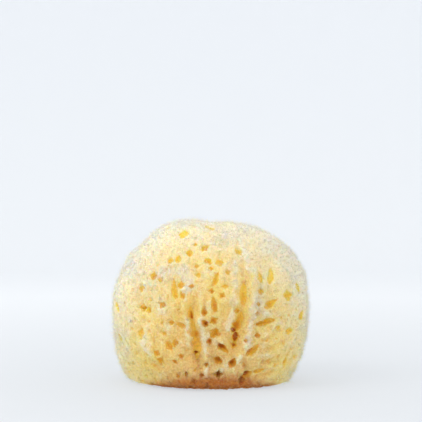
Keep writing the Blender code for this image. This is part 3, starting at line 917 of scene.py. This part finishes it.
def turned(profile, sides):
    """Points and squares of a profile of (reach, height) turned about the Z axis."""
    angle = np.linspace(0, math.tau, sides, endpoint=False)[:, None]
    reach, height = profile.T
    height = np.broadcast_to(height, (sides, len(reach)))
    points = np.stack((reach * np.cos(angle), reach * np.sin(angle), height), -1)
    number = np.arange(points[..., 0].size).reshape(sides, -1)
    after = np.roll(number, -1, axis=0)
    cells = np.stack((number[:, :-1], after[:, :-1], after[:, 1:], number[:, 1:]), -1)
    return points.reshape(-1, 3), cells.reshape(-1, 4)


rise = np.linspace(0, math.pi / 2, CURVE_STEPS)
curve = np.stack((FLOOR_FLAT + (WALL_REACH - FLOOR_FLAT) * np.sin(rise), WALL_TOP * (1 - np.cos(rise))), -1)
profile = np.vstack(((FLOOR_MIDDLE_HOLE, 0.0), (FLOOR_RING, 0.0), curve))
stage_points, stage_cells = turned(profile, STAGE_SIDES)
stage_mesh = bpy.data.meshes.new("pale_floor")
stage_mesh.from_pydata(stage_points.tolist(), [], stage_cells[:, ::-1].tolist())
stage_mesh.shade_smooth()
paper = bpy.data.materials.new("pale_paper")
paper.use_nodes = True
tree = paper.node_tree
spot = add_node(tree, "ShaderNodeTexCoord", {}).outputs["Object"]
away = add_node(tree, "ShaderNodeVectorMath", {0: spot}, operation="LENGTH").outputs["Value"]
height = add_node(tree, "ShaderNodeSeparateXYZ", {0: spot}).outputs["Z"]
near = stretched(tree, away, *NEAR_BAND)
distant = mixed(tree, stretched(tree, height, *UPPER_BAND), FAR_COLOUR, UPPER_COLOUR)
# The glow: strongest on the floor near the sponge, where it lights the sponge from below and thins its shadow
glow = add_node(tree, "ShaderNodeMapRange", {0: near, 1: 0.0, 2: 1.0, 3: FAR_GLOW, 4: NEAR_GLOW})
surface = tree.nodes["Principled BSDF"].inputs
tree.links.new(mixed(tree, near, distant, NEAR_COLOUR), surface["Base Color"])
tree.links.new(glow.outputs[0], surface["Emission Strength"])
surface["Emission Color"].default_value = GLOW_COLOUR
surface["Roughness"].default_value = PAPER_ROUGHNESS
surface["Specular IOR Level"].default_value = PAPER_SHINE
stage_mesh.materials.append(paper)
floor = bpy.data.objects.new("pale_floor", stage_mesh)
bpy.context.scene.collection.objects.link(floor)

# The light: an even brightness all round, a large soft lamp from the upper left, and a low one in front
WORLD_COLOUR, WORLD_STRENGTH = (1.0, 0.99, 0.965, 1), 1.15
LAMP_COLOUR = (1.0, 0.98, 0.95)
world = bpy.data.worlds.new("daylight")
world.use_nodes = True
world.node_tree.nodes["Background"].inputs["Color"].default_value = WORLD_COLOUR
world.node_tree.nodes["Background"].inputs["Strength"].default_value = WORLD_STRENGTH
bpy.context.scene.world = world


def soft_lamp(name, place, target, size, watts):
    """A square lamp that faces its target."""
    lamp = bpy.data.lights.new(name, "AREA")
    lamp.shape, lamp.size, lamp.energy, lamp.color = "SQUARE", size, watts, LAMP_COLOUR
    holder = bpy.data.objects.new(name, lamp)
    holder.location = place
    holder.rotation_euler = (Vector(target) - Vector(place)).to_track_quat("-Z", "Y").to_euler()
    bpy.context.scene.collection.objects.link(holder)


soft_lamp("window", place=(-1.0, -0.45, 1.05), target=(0, 0, 0.05), size=0.8, watts=6.3)
soft_lamp("reflector", place=(0.3, -1.35, 0.15), target=(0, 0, 0.03), size=1.1, watts=3.7)

# The camera: level with the crown and aimed above it, so that the sponge stands low in the picture
PICTURE_SIDE = 422
CAMERA_LENS, CAMERA_SENSOR = 85, 36
CAMERA_DISTANCE, CAMERA_HEIGHT_DEGREES = 640 * MM, 4
SPONGE_MIDDLE = Vector((0, 0, HEIGHT / 2))
MIDDLE_BELOW_CENTRE = 88
MIDDLE_LEFT_OF_CENTRE = -0.5

height_angle = math.radians(CAMERA_HEIGHT_DEGREES)
pixels_per_unit = CAMERA_LENS / CAMERA_SENSOR * PICTURE_SIDE
pitch = math.atan(MIDDLE_BELOW_CENTRE / pixels_per_unit) - height_angle
yaw = -math.atan(MIDDLE_LEFT_OF_CENTRE / pixels_per_unit)
lens = bpy.data.cameras.new("camera")
lens.lens, lens.sensor_width = CAMERA_LENS, CAMERA_SENSOR
camera = bpy.data.objects.new("camera", lens)
camera_direction = Vector((0, -math.cos(height_angle), math.sin(height_angle)))
camera.location = SPONGE_MIDDLE + CAMERA_DISTANCE * camera_direction
camera.rotation_euler = (math.radians(90) + pitch, 0, yaw)
bpy.context.scene.collection.objects.link(camera)
bpy.context.scene.camera = camera
bpy.context.scene.view_settings.view_transform = "Standard"
